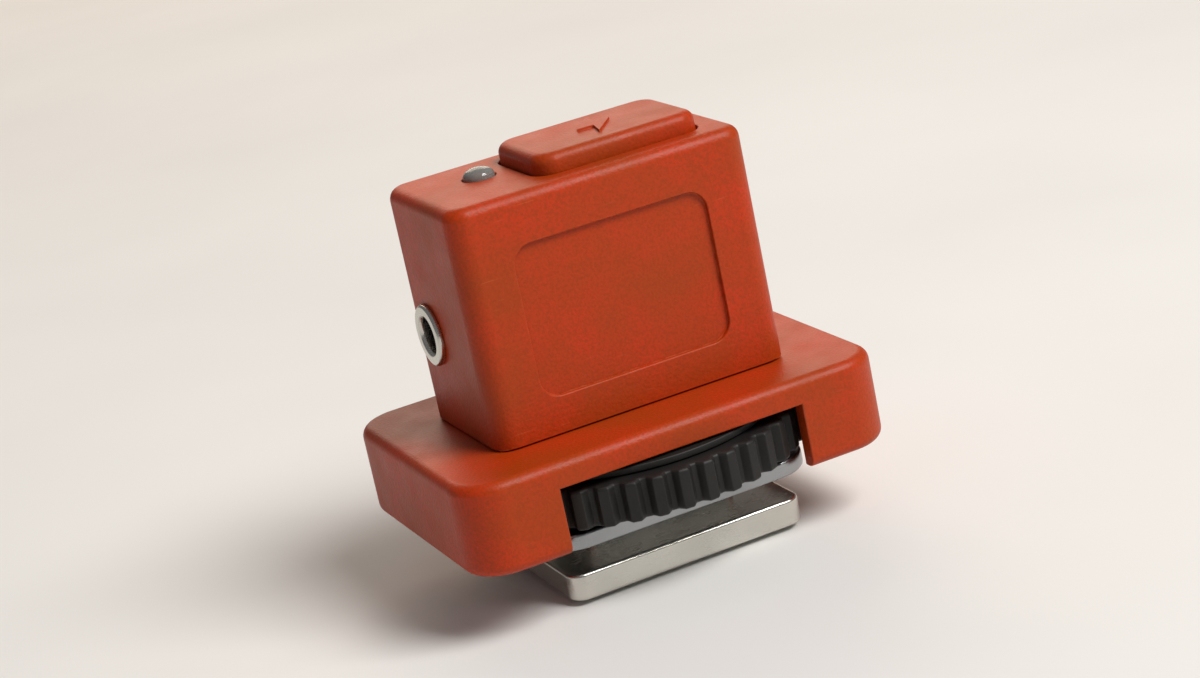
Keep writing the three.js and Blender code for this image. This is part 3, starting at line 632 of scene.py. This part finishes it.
# ---- Foot and lock -----------------------------------------------------------------------------------

NECK = SimpleNamespace(half_x=6.0, half_y=5.0, corner=1.0, fit=0.2)
FOOT = SimpleNamespace(thick=2.0, corner=1.2, edge=0.25, bore=3.1, seat_depth=1.05)
HUB_RADIUS = 9.0
CLAMP = SimpleNamespace(thick=1.2, corner=3.0, edge=0.2)
OVERLAP = 0.3  # how far joined forms run into each other
WASHER_BORE = 7.8
WASHER_EDGE = 0.1
TEETH = 44
TOOTH_DEPTH = 0.55
RIM_FILLET = 0.3


def neck_outline(gap=0.0):
    """The foot's neck. The clamp plate slides on it and can't turn."""
    half_x, half_y = NECK.half_x + gap, NECK.half_y + gap
    return rectangle(-half_x, half_x, -half_y, half_y, NECK.corner + gap)


def shoe_foot():
    """The plate that goes into the shoe, and the neck that carries everything."""
    outline = rectangle(foot.x0, foot.x1, foot.y0, foot.y1, FOOT.corner)
    plate = slab(outline, foot.z0, foot.z0 + FOOT.thick, top=FOOT.edge, bottom=FOOT.edge)
    neck = slab(neck_outline(), foot.z0 + FOOT.thick - OVERLAP, foot.z1)
    bore = slab(circle(0, 0, FOOT.bore), foot.z0 - 1, foot.z1 + 1)
    seat = slab(circle(0, 0, insulator.x1 + GAP, 96), foot.z0 - 1, insulator.z0 + FOOT.seat_depth)
    return cut(join(plate, neck), bore, seat, *screw_holes("foot_screw", True))


def foot_insulator():
    """A flange with a shallow ring groove, and a sleeve with a well for the pin's collar."""
    flange, sleeve, well, pin_hole = insulator.x1, 3.0, 2.0, 1.3
    low, shoulder, well_floor = insulator.z0, insulator.z0 + 0.95, 2.0
    chamfer = 0.15
    groove, groove_depth = 3.5, 0.12
    profile = [(pin_hole + chamfer, low), (groove - 0.2, low), (groove - 0.1, low + groove_depth)]
    profile += [(groove + 0.1, low + groove_depth), (groove + 0.2, low), (flange - chamfer, low)]
    profile += [(flange, low + chamfer), (flange, shoulder), (sleeve, shoulder), (sleeve, insulator.z1)]
    profile += [(well, insulator.z1), (well, well_floor), (pin_hole, well_floor), (pin_hole, low + chamfer)]
    return lathe(profile, 96, closed=True)


def sync_pin():
    """A pin with a domed tip, a collar that stops it and a stem inside the spring."""
    pin = box("sync_pin")
    radius, dome, collar, stem = 1.2, 0.45, pin.x1, 0.7
    collar_bottom, collar_top = 2.05, 2.75
    turns = [math.pi / 2 * i / 8 for i in range(9)]
    profile = [(radius * math.sin(t), pin.z0 + dome * (1 - math.cos(t))) for t in turns]
    profile += [(radius, collar_bottom), (collar, collar_bottom), (collar, collar_top)]
    profile += [(stem, collar_top), (stem, pin.z1), (0, pin.z1)]
    return lathe(profile, 48)


def lock_wheel():
    """A thumb wheel with teeth round its rim and a bore for the clamp plate's hub."""
    inner = wheel.x1 - TOOTH_DEPTH
    corners = [(0.0, inner), (0.2, wheel.x1), (0.6, wheel.x1), (0.8, inner)]
    step = 2 * math.pi / TEETH
    outline = [
        (radius * math.cos((i + share) * step), radius * math.sin((i + share) * step))
        for i in range(TEETH)
        for share, radius in corners
    ]
    bore = circle(0, 0, HUB_RADIUS + CLEARANCE, 96)
    return slab(outline, wheel.z0, wheel.z1, top=RIM_FILLET, bottom=RIM_FILLET, holes=[bore], steps=4)


def clamp_plate():
    """The plate that is drawn down onto the shoe, with its hub."""
    outline = rectangle(clamp.x0, clamp.x1, clamp.y0, clamp.y1, CLAMP.corner)
    top = clamp.z0 + CLAMP.thick
    plate = slab(outline, clamp.z0, top, top=CLAMP.edge, bottom=CLAMP.edge, steps=3)
    hub = slab(circle(0, 0, HUB_RADIUS, 96), top - OVERLAP, clamp.z1)
    return cut(join(plate, hub), slab(neck_outline(NECK.fit), clamp.z0 - 1, clamp.z1 + 1))


def thrust_washer():
    """The slippery ring between the wheel and the base."""
    rim, bore = circle(0, 0, washer.x1, 96), circle(0, 0, WASHER_BORE)
    return slab(rim, washer.z0, washer.z1, top=WASHER_EDGE, bottom=WASHER_EDGE, holes=[bore], steps=3)


# ---- Small parts -------------------------------------------------------------------------------------


def status_lens():
    """A light guide with a flange under the tower's roof and a domed end."""
    guide, flange, flange_thick = 0.8, 1.7, 0.6
    flange_top = tower.z1 - WALL - GAP
    flange_bottom = flange_top - flange_thick
    rim = tower.z1 + 0.1
    rise = lens.z1 - rim
    turns = [math.pi / 2 * i / 8 for i in range(9)]
    profile = [(0, lens.z0), (guide, lens.z0), (guide, flange_bottom), (flange, flange_bottom)]
    profile += [(flange, flange_top), (LENS_RADIUS, flange_top)]
    profile += [(LENS_RADIUS * math.cos(t), rim + rise * math.sin(t)) for t in turns]
    return placed(lathe(profile, 48), lens.x, lens.y)


def sync_jack_bushing():
    """The jack's sleeve, with a chamfered flange outside the wall."""
    bore, flange, chamfer, lead_in = 1.35, 2.3, 0.15, 0.2
    inner_end, wall, outer_end = -bushing.x1, -tower.x0, -bushing.x0
    profile = [(bore, inner_end), (JACK_BARREL, inner_end), (JACK_BARREL, wall), (flange, wall)]
    profile += [(flange, outer_end - chamfer), (flange - chamfer, outer_end), (bore + lead_in, outer_end)]
    profile += [(bore, outer_end - lead_in)]
    sleeve = facing_left(lathe(profile, 64, closed=True))
    return placed(sleeve, 0, bushing.y, bushing.z)


def coin_cell():
    """A steel can with a rolled rim round a raised lid."""
    cell = box("coin_cell")
    radius, thick = (cell.x1 - cell.x0) / 2, cell.y1 - cell.y0
    lid = radius - 0.9
    profile = [(0, 0), (radius - 0.35, 0), (radius - 0.1, 0.1), (radius, 0.35), (radius, thick - 0.6)]
    profile += [(radius - 0.12, thick - 0.42), (radius - 0.45, thick - 0.4), (lid + 0.15, thick - 0.5)]
    profile += [(lid, thick - 0.45), (lid - 0.1, thick - 0.08), (lid - 0.35, thick), (0, thick)]
    return placed(facing_back(lathe(profile, 96)), cell.x, cell.y0, cell.z)


def screw_form(length):
    """A cross-recessed machine screw with the top of its head at z = 0, pointing down."""
    head, head_depth, shank, point = 1.35, 0.75, 0.7, 0.2
    recess, recess_depth = 0.2, 0.4
    profile = [(0, 0), (head - 0.3, 0), (head - 0.08, -0.08), (head, -0.25), (head, -head_depth)]
    profile += [(shank, -head_depth), (shank, point - length), (shank - point, -length), (0, -length)]
    body = lathe(profile, 40)
    reach = head * 0.65
    slots = [slab(rectangle(-a, a, -b, b), -recess_depth, 1) for a, b in ((reach, recess), (recess, reach))]
    return cut(body, join(*slots))


def screw(node):
    """A screw in its node's place: foot screws point down, shell screws up and cover screws to the front."""
    at = box(node)
    if node.startswith("cover"):
        return placed(facing_back(screw_form(at.y1 - at.y0)), at.x, at.y1, at.z)
    form = screw_form(at.z1 - at.z0)
    if node.startswith("foot"):
        return placed(form, at.x, at.y, at.z1)
    form.transform(Matrix.Rotation(math.pi, 4, "X"))
    return placed(form, at.x, at.y, at.z0)


def travel(joint):
    """How far a sliding joint goes, in millimetres."""
    return next(j["range_m"][1] for j in frame["joints"] if j["name"] == joint) / MM


def compress(spring):
    """Gives the pin's spring a mesh of its own. The spring's form is not changed."""
    at = box("sync_pin_spring")
    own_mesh(spring)


FORMS = [base_shell, front_shell, test_button, shoe_foot, foot_insulator, sync_pin, lock_wheel, clamp_plate]
FORMS += [thrust_washer, status_lens, sync_jack_bushing, coin_cell]
ROUNDING = {"front_shell": 0.1, "rear_cover": 0.1, "lock_wheel": 0.06, "sync_jack_bushing": 0.06}
ROUNDING |= {"antenna_coil": 0.05, "foot_insulator": 0.04, "sync_pin": 0.04, "coin_cell": 0.04}
ROUNDING |= {"status_lens": 0.03}
SCREW_ROUNDING = 0.05
THIN_PART = 8  # a thin piece's rounding goes into its thickness this many times
for form in FORMS:
    stand_for(form.__name__, form(), ROUNDING.get(form.__name__, EDGE))
shaped = {form.__name__ for form in FORMS}

for node in frame["nodes"]:
    if node in shaped:
        continue
    if "_screw_" in node:
        stand_for(node, screw(node), SCREW_ROUNDING)
    else:
        thickness = min(hi - lo for lo, hi in zip(*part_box(node))) / MM
        piece = stand_for(node, cad_form(node), ROUNDING.get(node, min(EDGE, thickness / THIN_PART)))
        if node == "sync_pin_spring":
            compress(piece)


# ---- Marks on the rear cover -------------------------------------------------------------------------


FONT_SIZE = 1.3  # a font's size against the height of its characters
INK = 0.01  # half the thickness of the ink


def printed(name, text, x, z, height):
    """A character in white ink on the rear cover, read from behind."""
    curve = bpy.data.curves.new(name, "FONT")
    curve.body = text
    curve.size = height * MM * FONT_SIZE
    curve.extrude = INK * MM
    curve.align_x = "CENTER"
    curve.align_y = "CENTER"
    letter = bpy.data.objects.new(name, curve)
    bpy.context.scene.collection.objects.link(letter)
    mesh = bpy.data.meshes.new_from_object(letter.evaluated_get(bpy.context.evaluated_depsgraph_get()))
    bpy.data.objects.remove(letter)
    mark = bpy.data.objects.new(name, mesh)
    bpy.context.scene.collection.objects.link(mark)
    turn = Matrix(((-1, 0, 0), (0, 0, 1), (0, 1, 0))).to_4x4()
    mark.matrix_world = Matrix.Translation(Vector((x, cover.y1 + INK / 2, z)) * MM) @ turn
    mesh.materials.append(finish_of("white_plastic"))
    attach(mark, "housing")


CHANNEL_MARK = SimpleNamespace(height=1.15, below=1.9)
POWER_MARK = SimpleNamespace(height=0.95, below=1.15)
for number in (1, 2, 3):
    slider = box(f"channel_slider_{number}")
    row = slider.z0 - CHANNEL_MARK.below
    printed(f"channel_mark_{number}", str(number), slider.x, row, CHANNEL_MARK.height)
knob = box("power_knob")
row = knob.z0 - POWER_MARK.below
printed("power_mark_off", "O", knob.x, row, POWER_MARK.height)
printed("power_mark_on", "I", knob.x + travel("power_switch_slide"), row, POWER_MARK.height)


# ---- Floor, light and camera -------------------------------------------------------------------------


def floor():
    """A plain pale floor under the object's lowest point."""
    reach = 4.0
    mesh = bpy.data.meshes.new("floor")
    low = cad_bounds[0].z
    corners = [(-reach, -reach, low), (reach, -reach, low), (reach, reach, low), (-reach, reach, low)]
    mesh.from_pydata(corners, [], [(0, 1, 2, 3)])
    surface = Surface("pale_floor")
    tone = surface.between(surface.noise(60.0, 3.0), 0.0, 1.0, 0.3, 0.7)
    surface.set(Base_Color=surface.mix(tone, srgb(240, 239, 236), srgb(234, 233, 230)), Roughness=0.7)
    mesh.materials.append(surface.material)
    plane = bpy.data.objects.new("floor", mesh)
    bpy.context.scene.collection.objects.link(plane)


def area_light(name, watts, place, size, colour):
    """A square soft box, aimed at the middle of the object."""
    light = bpy.data.lights.new(name, "AREA")
    light.energy = watts
    light.size = size
    light.color = colour
    lamp = bpy.data.objects.new(name, light)
    lamp.location = place
    lamp.rotation_euler = (centre - Vector(place)).to_track_quat("-Z", "Y").to_euler()
    bpy.context.scene.collection.objects.link(lamp)


def pale_world(strength):
    """An even pale light from all sides."""
    world = bpy.data.worlds.new("pale")
    world.use_nodes = True
    background = world.node_tree.nodes["Background"]
    background.inputs["Color"].default_value = (0.97, 0.98, 1.0, 1.0)
    background.inputs["Strength"].default_value = strength
    bpy.context.scene.world = world


def camera(azimuth, elevation, roll, lens_mm, distance):
    """Looks at the middle of the object, turned about the line of sight by roll degrees."""
    a, e = math.radians(azimuth), math.radians(elevation)
    back = Vector((math.sin(a) * math.cos(e), -math.cos(a) * math.cos(e), math.sin(e)))
    data = bpy.data.cameras.new("camera")
    data.lens = lens_mm
    data.clip_start = 0.01
    eye = bpy.data.objects.new("camera", data)
    eye.rotation_mode = "QUATERNION"
    eye.location = centre + back * distance
    eye.rotation_quaternion = (-back).to_track_quat("-Z", "Y") @ Quaternion((0, 0, 1), math.radians(roll))
    bpy.context.scene.collection.objects.link(eye)
    bpy.context.scene.camera = eye


centre = (cad_bounds[0] + cad_bounds[1]) / 2
floor()
area_light("key", watts=6.6, place=(0.32, -0.42, 0.62), size=0.4, colour=(1.0, 0.985, 0.965))
area_light("fill", watts=0.05, place=(-0.7, -0.5, 0.35), size=0.6, colour=(0.95, 0.97, 1.0))
area_light("back", watts=1.6, place=(0.2, 0.62, 0.34), size=0.5, colour=(1.0, 0.8, 0.62))
pale_world(0.18)
camera(azimuth=-21, elevation=17, roll=-12, lens_mm=85, distance=0.205)
bpy.context.scene.view_settings.view_transform = "Standard"
